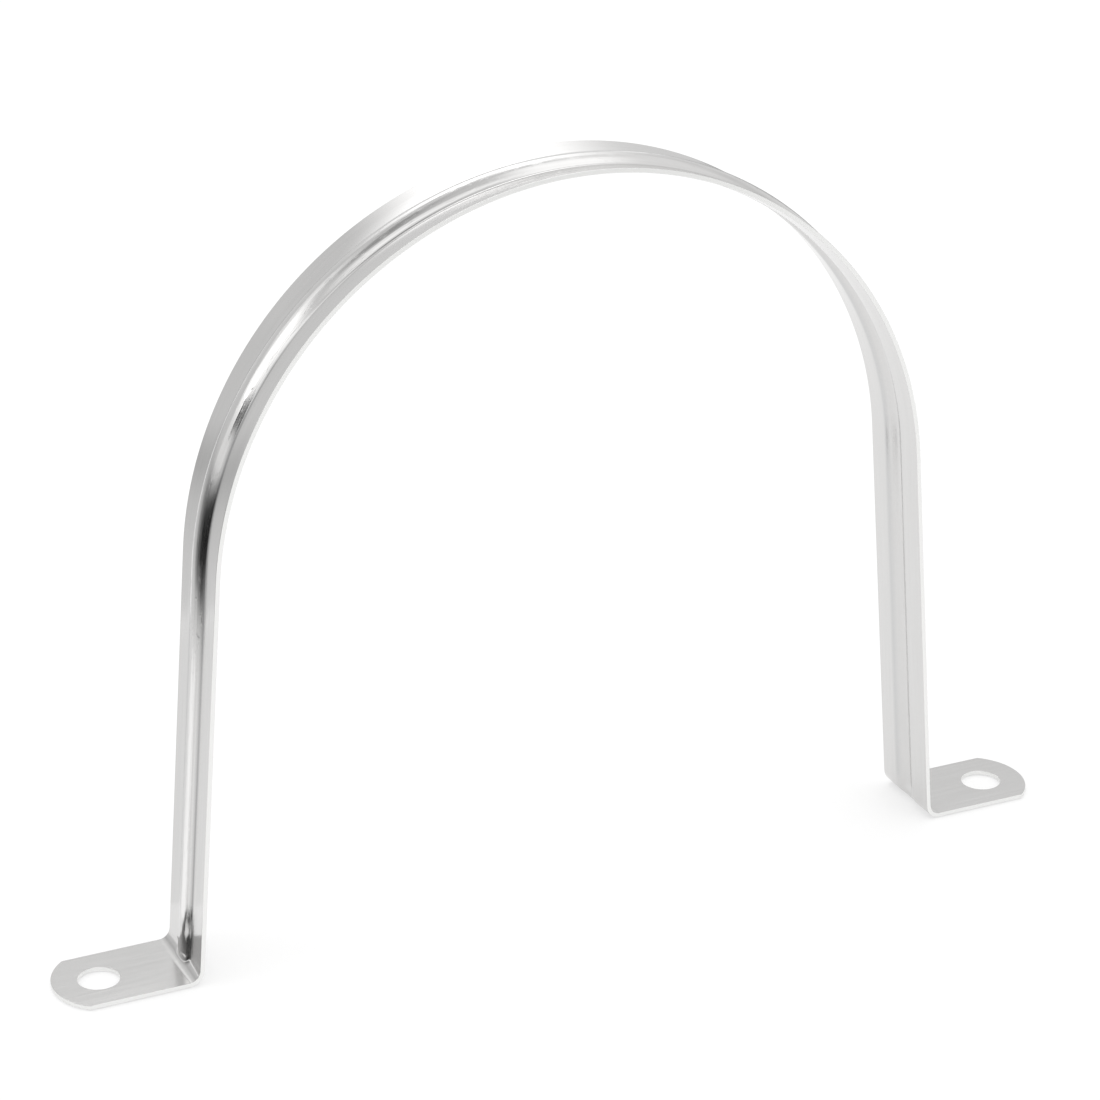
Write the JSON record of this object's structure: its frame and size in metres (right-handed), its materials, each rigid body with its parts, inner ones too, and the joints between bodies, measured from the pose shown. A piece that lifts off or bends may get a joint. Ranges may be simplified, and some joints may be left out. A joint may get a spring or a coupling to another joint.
{
  "type": "pipe strap",
  "caption": "One-piece stainless sheet strap with a round arch over a pipe, a stiffening bead and a screw foot on each side.",
  "frame": {"origin": "midway between the two feet, on the plane that the feet stand on", "axes": "+X from foot to foot, +Y along the pipe, +Z out of the mounting surface towards the crown"},
  "size_m": [0.234, 0.0202, 0.1675],
  "materials": {
    "stainless_sheet": "bright rolled, with fine draw lines along the bead"
  },
  "bodies": {
    "root": {"pipe_strap": "stainless_sheet"}
  },
  "joints": []
}
